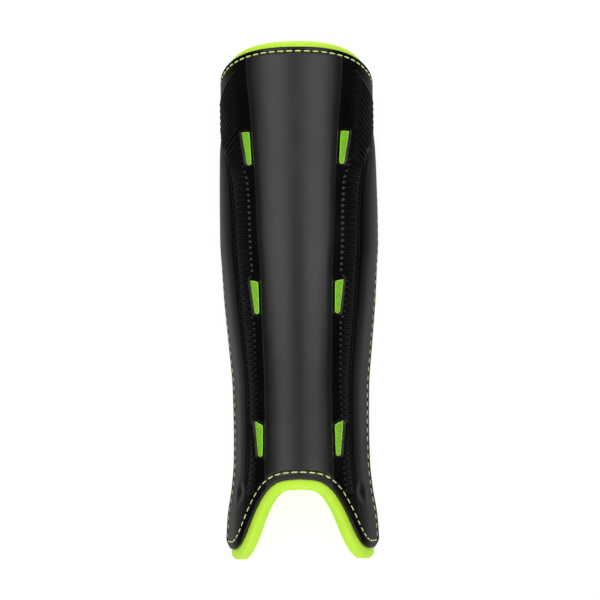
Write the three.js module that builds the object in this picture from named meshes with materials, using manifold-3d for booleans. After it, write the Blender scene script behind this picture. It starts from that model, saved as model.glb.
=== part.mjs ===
// Field hockey shin guard: a moulded outer shell over a foam lining, in millimetres.
// The guard lies on its flank edges with its front up: +Z is the front, +Y the knee end,
// and +X the right side of someone who looks down at the front.
import * as THREE from 'three';
import { mergeVertices } from 'three/addons/utils/BufferGeometryUtils.js';
import Module from 'manifold-3d';

const wasm = await Module();
wasm.setup();

// Driving sizes of the whole guard.
const LENGTH = 300; // from the knee end of the lining to the tips of the ankle lobes
const WIDTH = 93; // across the flank edges, at the calf
const DEPTH = 58; // from the flank edges to the front of the shell, under the centre panel
const EDGE_FLARE = 3; // how far the flank edges turn outwards
const KNEE_DROP = 21; // corners of the knee end below its middle
const KNEE_BOW = 2.3; // power of the curve from its middle to a corner
const ARCH_DROP = 42.5; // tips of the lobes below the crown of the ankle arch

// Walls, and the gap between the two pieces.
const SHELL_WALL = 3;
const LINING_WALL = 7;
const CLEARANCE = 0.3;

// The lining past the edge of the shell.
const KNEE_LIP = 3.4;
const ANKLE_LIP = 6;
const FLANK_LIP = 0.8; // what is left of both lips at the flank edges
const RIM_BEGINS = 0.65; // share of a lip where its edge starts to round over
const RIM_THIN = 0.18; // share of the lining's wall taken off each face at the rim

// Relief of the shell.
const PANEL_RISE = 2.4;
const PANEL_BEVEL = 1.6; // width of the slope down from the centre panel
const CREASE_RISE = 0.6;
const CREASE_STEP = 1.3; // the flank wing lies this far below the crease
const CREASE_SLOPE = 1.6; // width of each side of the crease
const RIB_PITCH = 3.35;
const RIB_HEIGHT = 0.9;
const RIB_WIDTH = 2.3; // at its foot
const RIB_ROOT = 0.6; // depth of a rib's foot inside the wall
const RIB_BEND = 3; // level stretch at the inner end of a slanting rib
const SHORT_RIB = 12; // a rib up to this length is straight from end to end
const RIB_END_GAP = 1.2; // between a rib and the crease

// Vents: a tapered slot beside the centre panel, and the pad of foam that fills it.
const VENT_LENGTH = 19.2;
const VENT_WIDTH = 5;
const VENT_TIP_WIDTH = 2.9;
const VENT_GAP = 0.7; // from the foot of the panel's slope to the vent
const VENT_FIT = 0.4; // all round a pad
const VENT_CORNER = 0.8; // radius of the two upper corners
const PAD_RECESS = 1.1; // top of a pad below the face of the shell
const COLLAR_GAP = 1.2; // from a vent to the nearest rib

// Oval dents in the ankle lobes.
const DENT_LENGTH = 8;
const DENT_WIDTH = 3;
const DENT_DEPTH = 1.2;

// Form of a cross-section: how far the middle stays flat, and how full the flanks are.
const FRONT_PULL = 0.6;
const FLANK_PULL = 0.55;
const FLARE_BEGINS = 0.78; // share of the way round

// Cross-sections, knee end first. down is a share of LENGTH, half of WIDTH / 2, front and lift
// (of the flank edge) of DEPTH, flare of EDGE_FLARE.
const SECTIONS = [
  { down: 0.0, half: 0.955, front: 0.93, lift: 0.16, flare: 0.0 },
  { down: 0.15, half: 0.957, front: 0.965, lift: 0.07, flare: 0.0 },
  { down: 0.2, half: 0.976, front: 0.975, lift: 0.03, flare: 0.2 },
  { down: 0.25, half: 0.989, front: 0.985, lift: 0.0, flare: 0.6 },
  { down: 0.33, half: 1.0, front: 0.995, lift: 0.0, flare: 1.0 },
  { down: 0.38, half: 0.994, front: 1.0, lift: 0.0, flare: 1.0 },
  { down: 0.43, half: 0.968, front: 1.0, lift: 0.0, flare: 1.0 },
  { down: 0.5, half: 0.944, front: 0.99, lift: 0.0, flare: 1.0 },
  { down: 0.58, half: 0.909, front: 0.965, lift: 0.0, flare: 1.0 },
  { down: 0.67, half: 0.869, front: 0.925, lift: 0.0, flare: 1.0 },
  { down: 0.75, half: 0.862, front: 0.895, lift: 0.0, flare: 1.0 },
  { down: 0.81, half: 0.868, front: 0.885, lift: 0.0, flare: 1.0 },
  { down: 0.86, half: 0.896, front: 0.895, lift: 0.0, flare: 1.0 },
  { down: 0.92, half: 0.94, front: 0.925, lift: 0.0, flare: 1.0 },
  { down: 1.0, half: 0.952, front: 0.97, lift: 0.0, flare: 1.0 },
];

// Lines of the relief. panel, ribs and crease are shares of the way round from the centre line to
// the flank edge; rise and step are shares of PANEL_RISE and of the crease's height and step.
const LINES = [
  { down: 0.0, panel: 0.44, ribs: 0.56, crease: 0.9, rise: 1.0, step: 0.0 },
  { down: 0.05, panel: 0.435, ribs: 0.555, crease: 0.9, rise: 1.0, step: 0.0 },
  { down: 0.15, panel: 0.38, ribs: 0.51, crease: 0.9, rise: 1.0, step: 0.3 },
  { down: 0.19, panel: 0.36, ribs: 0.49, crease: 0.785, rise: 1.0, step: 1.0 },
  { down: 0.223, panel: 0.345, ribs: 0.475, crease: 0.66, rise: 1.0, step: 1.0 },
  { down: 0.27, panel: 0.333, ribs: 0.4, crease: 0.575, rise: 1.0, step: 1.0 },
  { down: 0.33, panel: 0.325, ribs: 0.39, crease: 0.55, rise: 1.0, step: 1.0 },
  { down: 0.45, panel: 0.3, ribs: 0.385, crease: 0.545, rise: 1.0, step: 1.0 },
  { down: 0.58, panel: 0.31, ribs: 0.4, crease: 0.54, rise: 1.0, step: 1.0 },
  { down: 0.75, panel: 0.323, ribs: 0.42, crease: 0.55, rise: 0.9, step: 1.0 },
  { down: 0.85, panel: 0.33, ribs: 0.435, crease: 0.57, rise: 0.5, step: 0.6 },
  { down: 0.92, panel: 0.33, ribs: 0.44, crease: 0.6, rise: 0.3, step: 0.0 },
  { down: 1.0, panel: 0.33, ribs: 0.44, crease: 0.6, rise: 0.3, step: 0.0 },
];

// Lower edge of the shell, from the crown of the arch round a lobe to the flank edge. across is a
// share of the way round, drop a share of ARCH_DROP.
const ANKLE_EDGE = [
  { across: 0.0, drop: 0.0 },
  { across: 0.1, drop: 0.01 },
  { across: 0.19, drop: 0.035 },
  { across: 0.3, drop: 0.13 },
  { across: 0.38, drop: 0.26 },
  { across: 0.45, drop: 0.43 },
  { across: 0.52, drop: 0.63 },
  { across: 0.6, drop: 0.81 },
  { across: 0.7, drop: 0.94 },
  { across: 0.8, drop: 0.99 },
  { across: 0.9, drop: 1.0 },
  { across: 1.0, drop: 0.95 },
];

// Vents on each side. down is the place of the upper edge as a share of LENGTH, cant is how far the
// outer corner stands above the inner one, as a share of VENT_WIDTH.
const VENTS = [
  { down: 0.176, cant: 0.0 },
  { down: 0.462, cant: 0.28 },
  { down: 0.741, cant: 0.6 },
];

const RIBS_FROM = 0.07; // shares of LENGTH where the ribs begin and end
const RIBS_TO = 0.865;
const RIB_SLANT = 38; // degrees, of the slanting ribs near the knee
const RIB_TILT = 6; // degrees, of the short ribs below them
const SLANT_ENDS = 0.2; // share of LENGTH where the slant starts to fade
const TILT_BEGINS = 0.255; // share of LENGTH where the slant has faded
const DENT_DOWN = 0.868; // shares of LENGTH and of the way round
const DENT_ACROSS = 0.7;
const LIP_FADE = { knee: [0.6, 0.84], ankle: [0.93, 1.06] }; // shares of the way round

// Rows of faces along the guard: a few close rows where the crease turns, and wider ones below.
const KNEE_ROWS = 3;
const FINE_ROWS = 8;
const LONG_ROWS = 12;
const ANKLE_ROWS = 6;
const FINE_FROM = 0.09;
const FINE_TO = 0.28;
const LONG_TO = 0.8;
const FLANK_COLUMNS = [0.28, 0.52, 0.74, 0.9, 1.0]; // shares of the way from the crease to the edge

const SMALL_STEP = 1e-3; // share of the way round, for slopes worked out by difference
const MARCH_STEPS = 40; // steps along a rib in search of its end
const EDGE_PASSES = 6; // passes that settle where a column meets an edge
const OVERRUN = 5; // length of a cutter past what it cuts

const { clamp, lerp, smoothstep, degToRad } = THREE.MathUtils;

// Smooth curve through one column of a table, with no overshoot between its rows.
function follow(table, key, column, at) {
  const last = table.length - 1;
  const place = clamp(at, table[0][key], table[last][key]);
  let i = 0;
  while (i < last - 1 && place > table[i + 1][key]) i += 1;
  const slope = (k) => (table[k + 1][column] - table[k][column]) / (table[k + 1][key] - table[k][key]);
  const tangent = (k) => {
    if (k === 0 || k === last) return slope(Math.min(k, last - 1));
    const before = slope(k - 1);
    const after = slope(k);
    return before * after <= 0 ? 0 : (2 * before * after) / (before + after);
  };
  const span = table[i + 1][key] - table[i][key];
  const u = (place - table[i][key]) / span;
  const v = 1 - u;
  return table[i][column] * v * v * (1 + 2 * u)
    + table[i + 1][column] * u * u * (1 + 2 * v)
    + tangent(i) * span * u * v * v
    - tangent(i + 1) * span * u * u * v;
}

const section = (column, down) => follow(SECTIONS, 'down', column, down);
const line = (column, down) => follow(LINES, 'down', column, down);
const yOf = (down) => LENGTH * (0.5 - down);

// Point of the surface that lies inset below the smooth front, on the right side.
function skin(across, down, inset = 0) {
  const flare = EDGE_FLARE * section('flare', down);
  const half = (WIDTH / 2) * section('half', down) - flare - inset;
  const foot = DEPTH * section('lift', down);
  const rise = DEPTH * section('front', down) - inset - foot;
  const t = across;
  const s = 1 - t;
  const x = half * (3 * s * s * t * FRONT_PULL + 3 * s * t * t + t * t * t);
  const z = rise * (s * s * s + 3 * s * s * t + 3 * s * t * t * FLANK_PULL);
  const turned = Math.max(0, (t - FLARE_BEGINS) / (1 - FLARE_BEGINS));
  return new THREE.Vector3(x + flare * turned * turned, yOf(down), foot + z);
}

// Direction round the section, with its length in millimetres for a whole way round.
function roundwards(across, down) {
  const from = skin(across - SMALL_STEP, down);
  return skin(across + SMALL_STEP, down).sub(from).divideScalar(2 * SMALL_STEP);
}

function outwards(across, down) {
  const along = roundwards(across, down).normalize();
  return new THREE.Vector3(-along.z, 0, along.x);
}

const shareRound = (size, across, down) => size / roundwards(across, down).length();

// Columns of faces from the centre line to the flank edge: how far round each one lies, and how
// far it stands off the smooth surface.
function columnsAt(down) {
  const panel = line('panel', down);
  const crease = line('crease', down);
  const ribs = line('ribs', down) - shareRound(RIB_PITCH / 4, line('ribs', down), down);
  const bevel = shareRound(PANEL_BEVEL / 2, panel, down);
  const slope = shareRound(CREASE_SLOPE, crease, down);
  const rise = PANEL_RISE * line('rise', down);
  const step = line('step', down);
  const flank = FLANK_COLUMNS.map((share) => ({ across: lerp(crease + slope, 1, share), off: 0 }));
  flank[0].off = -CREASE_STEP * step / 2;
  return [
    { across: 0, off: rise },
    { across: panel / 2, off: rise },
    { across: panel - bevel, off: rise },
    { across: panel + bevel, off: 0 },
    { across: ribs, off: 0 },
    { across: (ribs + crease) / 2, off: 0 },
    { across: crease - slope, off: 0 },
    { across: crease, off: CREASE_RISE * step },
    { across: crease + slope, off: -CREASE_STEP * step },
    ...flank,
  ];
}

const COLUMNS = columnsAt(0).length;
const isSmoothColumn = (i) => i === 0 || i % 2 === 1; // enough for a face with no relief

// The two ends of the shell, as shares of LENGTH.
const kneeEdge = (across) => (KNEE_LIP + KNEE_DROP * across ** KNEE_BOW) / LENGTH;
const archCrown = (LENGTH - ANKLE_LIP - ARCH_DROP) / LENGTH;
const ankleEdge = (across) => archCrown + follow(ANKLE_EDGE, 'across', 'drop', across) * ARCH_DROP / LENGTH;

const ENDS = {
  knee: { edge: kneeEdge, guess: 0.02, lip: KNEE_LIP, outward: 1 },
  ankle: { edge: ankleEdge, guess: 0.93, lip: ANKLE_LIP, outward: -1 },
};

// Where a column meets an end of the shell, and past it where the lining's lip reaches.
function endPoint(name, column, lipShare) {
  const { edge, guess, lip, outward } = ENDS[name];
  let down = guess;
  for (let pass = 0; pass < EDGE_PASSES; pass += 1) down = edge(columnsAt(down)[column].across);
  const across = columnsAt(down)[column].across;
  const left = Math.max(across - SMALL_STEP, 0);
  const right = Math.min(across + SMALL_STEP, 1);
  const length = roundwards(across, down).length();
  const run = (right - left) * length;
  const fall = (edge(right) - edge(left)) * LENGTH;
  const slant = Math.hypot(run, fall);
  const [from, to] = LIP_FADE[name];
  const reach = lerp(lip, FLANK_LIP, smoothstep(across, from, to)) * lipShare;
  const round = across + (outward * fall / slant) * reach / length;
  return {
    across: clamp(round, 0, 1),
    down: down - outward * (run / slant) * reach / LENGTH,
    off: columnsAt(down)[column].off,
  };
}

// Places of the columns in each row of the shell, knee end first.
function shellRows() {
  const rows = [];
  const between = (name, fixed, share) => Array.from({ length: COLUMNS }, (_, column) => {
    const end = endPoint(name, column, 0);
    const down = lerp(end.down, fixed, share);
    return { ...columnsAt(down)[column], down };
  });
  const level = (down) => columnsAt(down).map((place) => ({ ...place, down }));
  for (let i = 0; i < KNEE_ROWS; i += 1) rows.push(between('knee', FINE_FROM, i / KNEE_ROWS));
  for (let i = 0; i < FINE_ROWS; i += 1) rows.push(level(lerp(FINE_FROM, FINE_TO, i / FINE_ROWS)));
  for (let i = 0; i < LONG_ROWS; i += 1) rows.push(level(lerp(FINE_TO, LONG_TO, i / LONG_ROWS)));
  for (let i = ANKLE_ROWS; i >= 0; i -= 1) rows.push(between('ankle', LONG_TO, i / ANKLE_ROWS));
  return rows;
}

const ROWS = shellRows();
const lipRow = (name, share) => Array.from({ length: COLUMNS }, (_, column) => endPoint(name, column, share));

// From the left flank edge over the front to the right one.
const overTheFront = (right) => [
  ...right.slice(1).reverse().map((p) => new THREE.Vector3(-p.x, p.y, p.z)),
  ...right,
];

const smoothFace = (row, inset) => overTheFront(
  row.filter((_, i) => isSmoothColumn(i)).map(({ across, down }) => skin(across, down, inset)),
);

const reliefFace = (row) => overTheFront(
  row.map(({ across, down, off }) => skin(across, down).addScaledVector(outwards(across, down), off)),
);

// Closed solid through rows that each hold an outer and an inner line of points.
function loft(rows) {
  const rings = rows.map(({ outer, inner }) => [...outer, ...inner.slice().reverse()]);
  const count = rings[0].length;
  const outerCount = rows[0].outer.length;
  const innerCount = rows[0].inner.length;
  const index = [];
  for (let i = 0; i < rings.length - 1; i += 1) {
    for (let k = 0; k < count; k += 1) {
      const next = (k + 1) % count;
      const [a, b] = [i * count + k, (i + 1) * count + k];
      const [c, d] = [(i + 1) * count + next, i * count + next];
      if (k < outerCount) index.push(a, b, c, a, c, d);
      else index.push(a, b, d, b, c, d);
    }
  }
  const end = (rings.length - 1) * count;
  let k = 0;
  let m = 0;
  while (k < outerCount - 1 || m < innerCount - 1) {
    const outerNext = (k + 1) / (outerCount - 1);
    const innerNext = (m + 1) / (innerCount - 1);
    const back = count - 1 - m;
    const third = outerNext <= innerNext ? k + 1 : back - 1;
    index.push(k, third, back, end + k, end + back, end + third);
    if (outerNext <= innerNext) k += 1;
    else m += 1;
  }
  const geometry = new THREE.BufferGeometry();
  const numbers = rings.flat().flatMap((p) => [p.x, p.y, p.z]);
  geometry.setAttribute('position', new THREE.Float32BufferAttribute(numbers, 3));
  geometry.setIndex(index);
  return geometry;
}

function solidOf(geometry) {
  const bare = geometry.clone();
  bare.deleteAttribute('normal');
  bare.deleteAttribute('uv');
  const merged = mergeVertices(bare);
  return new wasm.Manifold(new wasm.Mesh({
    numProp: 3,
    vertProperties: merged.attributes.position.array,
    triVerts: new Uint32Array(merged.index.array),
  }));
}

function geometryOf(solid) {
  const { numProp, vertProperties, triVerts } = solid.getMesh();
  const geometry = new THREE.BufferGeometry();
  const corners = new THREE.InterleavedBuffer(new Float32Array(vertProperties), numProp);
  geometry.setAttribute('position', new THREE.InterleavedBufferAttribute(corners, 3, 0));
  geometry.setIndex(new THREE.BufferAttribute(new Uint32Array(triVerts), 1));
  const plain = geometry.toNonIndexed();
  plain.computeVertexNormals();
  return plain;
}

const mirrored = (geometry) => {
  const copy = geometry.clone().scale(-1, 1, 1);
  const order = copy.index
    ? Array.from(copy.index.array)
    : Array.from({ length: copy.attributes.position.count }, (_, corner) => corner);
  for (let i = 0; i < order.length; i += 3) [order[i], order[i + 1]] = [order[i + 1], order[i]];
  copy.setIndex(order);
  return copy;
};

const onBothSides = (geometry) => [solidOf(geometry), solidOf(mirrored(geometry))];

// Outline of a right-hand vent seen from the front, drawn in by a gap.
function ventOutline({ down, cant }, gap) {
  const low = down + VENT_LENGTH / LENGTH;
  const innerAt = (share) => skin(line('panel', share), share).x + PANEL_BEVEL / 2 + VENT_GAP + gap;
  const top = yOf(down) - gap;
  const bottom = yOf(low) + gap;
  const rise = cant * VENT_WIDTH;
  const upper = { in: innerAt(down), out: innerAt(down) + VENT_WIDTH - 2 * gap };
  const lower = { in: innerAt(low), out: innerAt(low) + VENT_TIP_WIDTH - 2 * gap };
  const round = (lower.out - lower.in) / 2;
  const shape = new THREE.Shape();
  shape.moveTo(upper.in, top - VENT_CORNER);
  shape.lineTo(lower.in, bottom + round);
  shape.absarc(lower.in + round, bottom + round, round, Math.PI, 2 * Math.PI);
  shape.lineTo(upper.out, top + rise - VENT_CORNER);
  shape.quadraticCurveTo(upper.out, top + rise, upper.out - VENT_CORNER, top + rise);
  shape.lineTo(upper.in + VENT_CORNER, top);
  shape.quadraticCurveTo(upper.in, top, upper.in, top - VENT_CORNER);
  return shape;
}

function ventPrism(vent, gap) {
  const depth = DEPTH + PANEL_RISE + OVERRUN;
  return new THREE.ExtrudeGeometry(ventOutline(vent, gap), { depth, bevelEnabled: false, curveSegments: 4 });
}

// Nearest place round the section where a rib may start at a height: its line, or past a vent.
function ribStart(down) {
  const plain = line('ribs', down);
  const vent = VENTS.find((v) => down > v.down - v.cant * VENT_WIDTH / LENGTH - RIB_PITCH / LENGTH
    && down < v.down + VENT_LENGTH / LENGTH);
  if (!vent) return plain;
  const share = clamp((down - vent.down) * LENGTH / VENT_LENGTH, 0, 1);
  const width = lerp(VENT_WIDTH, VENT_TIP_WIDTH, share);
  const edge = skin(line('panel', down), down).x + PANEL_BEVEL / 2 + VENT_GAP + width + COLLAR_GAP;
  let across = plain;
  while (skin(across, down).x < edge) across += SMALL_STEP;
  return across;
}

// Middle line of one rib on the right side: level at first, then slanting down to the crease.
function ribPath(start) {
  const slant = degToRad(lerp(RIB_SLANT, RIB_TILT, smoothstep(start, SLANT_ENDS, TILT_BEGINS)));
  const walk = [{ across: ribStart(start), down: start, gone: 0 }];
  const step = (skin(1, start).distanceTo(skin(walk[0].across, start)) + RIB_PITCH) / MARCH_STEPS;
  const room = (down) => {
    const crease = line('crease', down);
    return crease - shareRound(CREASE_SLOPE + RIB_END_GAP, crease, down);
  };
  let last = walk[0];
  while (last.across < room(last.down)) {
    const lean = last.gone > RIB_BEND ? slant : 0;
    last = {
      across: last.across + shareRound(step * Math.cos(lean), last.across, last.down),
      down: last.down + step * Math.sin(lean) / LENGTH,
      gone: last.gone + step,
    };
    walk.push(last);
  }
  if (last.gone < SHORT_RIB) return [walk[0], last];
  const bend = walk.findIndex((place) => place.gone > RIB_BEND);
  const middle = Math.round((bend + walk.length - 1) / 2);
  return [walk[0], walk[bend], walk[middle], last];
}

// Paths of the ribs of one side. A rib is at least as long as it is wide.
function ribPaths() {
  const paths = [];
  for (let down = RIBS_FROM; down < RIBS_TO; down += RIB_PITCH / LENGTH) paths.push(ribPath(down));
  return paths.filter((path) => {
    const [first, last] = [path[0], path[path.length - 1]];
    return skin(first.across, first.down).distanceTo(skin(last.across, last.down)) > RIB_WIDTH;
  });
}

function rib(path) {
  const rows = path.map(({ across, down }, i) => {
    const before = path[Math.max(i - 1, 0)];
    const after = path[Math.min(i + 1, path.length - 1)];
    const along = skin(after.across, after.down).sub(skin(before.across, before.down)).normalize();
    const up = outwards(across, down);
    const side = new THREE.Vector3().crossVectors(up, along).normalize();
    const place = (out, aside) => skin(across, down).addScaledVector(up, out).addScaledVector(side, aside);
    return {
      outer: [place(RIB_HEIGHT, 0)],
      inner: [place(-RIB_ROOT, -RIB_WIDTH / 2), place(-RIB_ROOT, RIB_WIDTH / 2)],
    };
  });
  return loft(rows);
}

function dent() {
  const down = DENT_DOWN;
  const up = outwards(DENT_ACROSS, down);
  const ball = new THREE.SphereGeometry(1, 12, 8).scale(DENT_WIDTH / 2, DENT_LENGTH / 2, DENT_DEPTH);
  const turn = Math.atan2(up.x, up.z);
  const at = skin(DENT_ACROSS, down);
  return ball.rotateY(turn).translate(at.x, at.y, at.z);
}

function outerShell() {
  const wall = ROWS.map((row) => ({
    outer: reliefFace(row),
    inner: smoothFace(row, SHELL_WALL),
  }));
  let shell = solidOf(loft(wall));
  shell = shell.add(wasm.Manifold.union(ribPaths().flatMap((path) => onBothSides(rib(path)))));
  const cuts = VENTS.flatMap((vent) => onBothSides(ventPrism(vent, 0)));
  cuts.push(...onBothSides(dent()));
  return shell.subtract(wasm.Manifold.union(cuts));
}

function foamLining() {
  const face = SHELL_WALL + CLEARANCE;
  const thick = (row) => ({
    outer: smoothFace(row, face),
    inner: smoothFace(row, face + LINING_WALL),
  });
  const rim = (row) => ({
    outer: smoothFace(row, face + LINING_WALL * RIM_THIN),
    inner: smoothFace(row, face + LINING_WALL * (1 - RIM_THIN)),
  });
  const lining = solidOf(loft([
    rim(lipRow('knee', 1)),
    thick(lipRow('knee', RIM_BEGINS)),
    ...ROWS.map(thick),
    thick(lipRow('ankle', RIM_BEGINS)),
    rim(lipRow('ankle', 1)),
  ]));
  const layer = solidOf(loft(ROWS.map((row) => ({
    outer: smoothFace(row, PAD_RECESS),
    inner: smoothFace(row, face + LINING_WALL / 2),
  }))));
  const prisms = VENTS.flatMap((vent) => onBothSides(ventPrism(vent, VENT_FIT)));
  return lining.add(layer.intersect(wasm.Manifold.union(prisms)));
}

function piece(name, solid, colour, roughness) {
  const material = new THREE.MeshStandardMaterial({ color: colour, roughness, metalness: 0 });
  const mesh = new THREE.Mesh(geometryOf(solid), material);
  mesh.name = name;
  return mesh;
}

const group = new THREE.Group();
group.add(piece('outer_shell', outerShell(), 0x1c1c1d, 0.42));
group.add(piece('foam_lining', foamLining(), 0xbbe43a, 0.85));

const box = new THREE.Box3().setFromObject(group);
group.position.y = -(box.min.y + box.max.y) / 2;

export default group;
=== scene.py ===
# %% [markdown]
# # A field hockey shin guard
#
# The real guard is two things stitched together: a black shell moulded in one piece, and a lime
# foam lining that stands a few millimetres past it. A solid model of both is already packed. This
# lesson dresses it: it remodels the shell with every rib, rounds the foam, sews the edge, and gives
# each finish a material. All lengths are in metres, and MM turns a millimetre into metres.

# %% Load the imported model
import math
from bisect import bisect_right
from collections import namedtuple
from functools import lru_cache

import bmesh
import bpy
from mathutils import Matrix, Vector


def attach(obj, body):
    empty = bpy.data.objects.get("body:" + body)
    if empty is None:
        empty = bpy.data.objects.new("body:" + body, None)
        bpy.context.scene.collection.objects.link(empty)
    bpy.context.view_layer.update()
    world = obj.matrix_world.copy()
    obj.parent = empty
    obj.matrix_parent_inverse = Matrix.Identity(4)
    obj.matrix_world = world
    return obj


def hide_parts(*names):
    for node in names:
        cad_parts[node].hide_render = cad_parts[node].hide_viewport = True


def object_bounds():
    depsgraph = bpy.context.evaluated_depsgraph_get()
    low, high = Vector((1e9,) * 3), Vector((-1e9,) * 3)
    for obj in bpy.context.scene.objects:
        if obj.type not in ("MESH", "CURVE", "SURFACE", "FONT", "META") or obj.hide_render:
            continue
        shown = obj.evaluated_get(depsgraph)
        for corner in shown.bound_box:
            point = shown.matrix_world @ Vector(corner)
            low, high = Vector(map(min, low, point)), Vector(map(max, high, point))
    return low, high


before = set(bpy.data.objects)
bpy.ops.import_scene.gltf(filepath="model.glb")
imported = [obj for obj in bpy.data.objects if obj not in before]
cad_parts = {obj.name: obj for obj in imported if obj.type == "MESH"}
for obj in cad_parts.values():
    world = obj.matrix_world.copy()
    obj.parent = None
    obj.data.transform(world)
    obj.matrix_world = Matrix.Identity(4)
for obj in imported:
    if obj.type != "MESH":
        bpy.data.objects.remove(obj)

MM = 0.001
cad_low, cad_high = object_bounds()
SHELL, LINING = "outer_shell", "foam_lining"
print("packed model, mm:", [round((high - low) / MM, 1) for low, high in zip(cad_low, cad_high)])

# %% [markdown]
# ## The form of the guard
#
# Shell and lining are nested copies of one form, so one function has to give them both. It could be
# a sculpted mesh, but then the lining would have to be fitted by eye. Here a short table says how
# wide and deep the guard is at a few places down its length, a smooth curve runs through each
# column of the table, and a cubic arch spans each cross-section. "down" is the share of the length
# from the knee end, and "across" the share of the way round from the centre line to a flank edge.

# %% Sizes of the guard
LENGTH = cad_high.y - cad_low.y
WIDTH = cad_high.x - cad_low.x
DEPTH = 58 * MM  # under the centre panel
EDGE_FLARE = 3 * MM  # of the flank edges, away from the leg
FLARE_BEGINS = 0.78  # of the way across
FRONT_PULL, FLANK_PULL = 0.6, 0.55  # how flat the arch of a cross-section is in front and beside
SHELL_WALL = 3 * MM
LINING_WALL = 7 * MM
CLEARANCE = 0.3 * MM  # between shell and lining
print("length and width, mm:", round(LENGTH / MM, 1), round(WIDTH / MM, 1))

# %% Tables of the form
# Shares of the half width and of the depth, how far the edge is off the floor, and how it flares.
Section = namedtuple("Section", "down half front lift flare")
SECTIONS = [
    Section(0.00, 0.955, 0.930, 0.16, -0.3),
    Section(0.15, 0.948, 0.965, 0.07, -0.4),
    Section(0.20, 0.968, 0.975, 0.03, -0.4),
    Section(0.25, 0.983, 0.985, 0.00, -0.3),
    Section(0.33, 0.998, 0.995, 0.00, 0.0),
    Section(0.38, 1.000, 1.000, 0.00, 0.1),
    Section(0.43, 0.984, 1.000, 0.00, 0.3),
    Section(0.50, 0.958, 0.990, 0.00, 0.5),
    Section(0.58, 0.914, 0.965, 0.00, 0.7),
    Section(0.67, 0.869, 0.925, 0.00, 0.8),
    Section(0.75, 0.862, 0.895, 0.00, 0.8),
    Section(0.81, 0.868, 0.885, 0.00, 0.8),
    Section(0.86, 0.896, 0.895, 0.00, 0.8),
    Section(0.92, 0.955, 0.925, 0.00, 0.8),
    Section(1.00, 0.985, 0.970, 0.00, 0.8),
]

# Where the lines of the relief run, as shares of the way across, and how strong they are.
Lines = namedtuple("Lines", "down panel ribs crease rise step")
LINES = [
    Lines(0.00, 0.400, 0.515, 0.900, 1.0, 0.0),
    Lines(0.05, 0.395, 0.510, 0.900, 1.0, 0.0),
    Lines(0.15, 0.355, 0.465, 0.900, 1.0, 0.3),
    Lines(0.19, 0.338, 0.450, 0.785, 1.0, 1.0),
    Lines(0.223, 0.324, 0.435, 0.660, 1.0, 1.0),
    Lines(0.27, 0.310, 0.370, 0.575, 1.0, 1.0),
    Lines(0.33, 0.303, 0.356, 0.550, 1.0, 1.0),
    Lines(0.45, 0.290, 0.352, 0.545, 1.0, 1.0),
    Lines(0.58, 0.306, 0.380, 0.540, 1.0, 1.0),
    Lines(0.75, 0.323, 0.420, 0.550, 0.9, 1.0),
    Lines(0.85, 0.330, 0.435, 0.570, 0.5, 0.6),
    Lines(0.92, 0.330, 0.440, 0.600, 0.3, 0.0),
    Lines(1.00, 0.330, 0.440, 0.600, 0.3, 0.0),
]

# Lower edge of the shell: the arch over the instep, and a lobe on each side of it.
ARCH_DROP = 42.5 * MM
EdgePoint = namedtuple("EdgePoint", "across drop")
ANKLE_EDGE = [
    EdgePoint(0.00, 0.00),
    EdgePoint(0.10, 0.01),
    EdgePoint(0.19, 0.035),
    EdgePoint(0.30, 0.13),
    EdgePoint(0.38, 0.26),
    EdgePoint(0.45, 0.43),
    EdgePoint(0.52, 0.63),
    EdgePoint(0.60, 0.81),
    EdgePoint(0.70, 0.94),
    EdgePoint(0.80, 0.99),
    EdgePoint(0.90, 1.00),
    EdgePoint(1.00, 0.95),
]
KNEE_DROP, KNEE_BOW = 21 * MM, 2.3
KNEE_LIP, ANKLE_LIP, FLANK_LIP = 3.4 * MM, 6 * MM, 0.8 * MM  # of foam past the shell
print("rows of the tables:", len(SECTIONS), len(LINES), len(ANKLE_EDGE))

# %% A curve through a column of a table, and the form itself


def smooth_curve(rows, key, value):
    """Smooth curve through one column of a table, with no overshoot between its rows."""
    xs = [getattr(row, key) for row in rows]
    ys = [getattr(row, value) for row in rows]
    slopes = [(ys[i + 1] - ys[i]) / (xs[i + 1] - xs[i]) for i in range(len(xs) - 1)]
    tangents = [slopes[0]]
    for before, after in zip(slopes, slopes[1:]):
        turns = before * after <= 0
        tangents.append(0.0 if turns else 2 * before * after / (before + after))
    tangents.append(slopes[-1])

    def curve(at):
        place = min(max(at, xs[0]), xs[-1])
        i = min(bisect_right(xs, place), len(xs) - 1) - 1
        span = xs[i + 1] - xs[i]
        u = (place - xs[i]) / span
        v = 1 - u
        ends = ys[i] * v * v * (1 + 2 * u) + ys[i + 1] * u * u * (1 + 2 * v)
        return ends + (tangents[i] * v - tangents[i + 1] * u) * span * u * v

    return curve


half_at, front_at, lift_at, flare_at = (
    smooth_curve(SECTIONS, "down", name) for name in ("half", "front", "lift", "flare")
)
panel_at, ribs_at, crease_at, rise_at, step_at = (
    smooth_curve(LINES, "down", name) for name in ("panel", "ribs", "crease", "rise", "step")
)
drop_at = smooth_curve(ANKLE_EDGE, "across", "drop")


def skin(across, down, inset=0.0):
    """Point on the right half of the smooth form, inset below its front."""
    flare = EDGE_FLARE * flare_at(down)
    half = WIDTH / 2 * half_at(down) - flare - inset
    foot = DEPTH * lift_at(down)
    rise = DEPTH * front_at(down) - inset - foot
    t, s = across, 1 - across
    x = half * (3 * s * s * t * FRONT_PULL + 3 * s * t * t + t**3)
    z = rise * (s**3 + 3 * s * s * t + 3 * s * t * t * FLANK_PULL)
    turned = max(0.0, (t - FLARE_BEGINS) / (1 - FLARE_BEGINS))
    return Vector((x + flare * turned**2, LENGTH * (0.5 - down), foot + z))


SMALL = 1e-3  # a step that stands in for a derivative


def roundwards(across, down):
    """Direction round a cross-section, as long as a whole way round would be."""
    return (skin(across + SMALL, down) - skin(across - SMALL, down)) / (2 * SMALL)


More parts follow.
